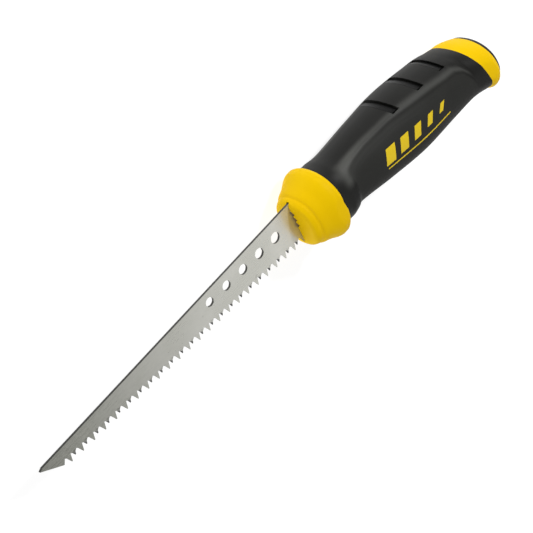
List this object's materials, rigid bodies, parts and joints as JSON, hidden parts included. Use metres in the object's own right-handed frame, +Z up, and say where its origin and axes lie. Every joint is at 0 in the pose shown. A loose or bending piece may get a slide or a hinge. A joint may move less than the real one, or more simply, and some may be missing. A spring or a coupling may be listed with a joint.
{
  "type": "drywall saw",
  "caption": "Hand saw with a stiff pointed, toothed blade pierced by a row of shrinking round holes, and a two-colour moulded handle with a flared guard and rear ring.",
  "frame": {"origin": "on the surface that the saw lies on, under the middle of its whole box", "axes": "+X from the blade's point towards the butt, +Y from the teeth towards the spine, +Z up from the surface, across the blade"},
  "size_m": [0.3084, 0.0488, 0.0356],
  "materials": {
    "blade_steel": "satin ground sheet steel",
    "pin_steel": "plain",
    "core_plastic": "moulded",
    "yellow_plastic": "satin moulded",
    "grip_rubber": "fine matt moulded rubber",
    "tread_rubber": "smooth moulded rubber",
    "cap_plastic": "satin moulded"
  },
  "bodies": {
    "root": {"blade": "blade_steel", "tang_pins": "pin_steel", "handle_core": "core_plastic", "bolster": "yellow_plastic", "grip": "grip_rubber", "tread_front": "tread_rubber", "tread_middle": "tread_rubber", "tread_rear": "tread_rubber", "rear_ring": "yellow_plastic", "end_cap": "cap_plastic"}
  },
  "joints": []
}
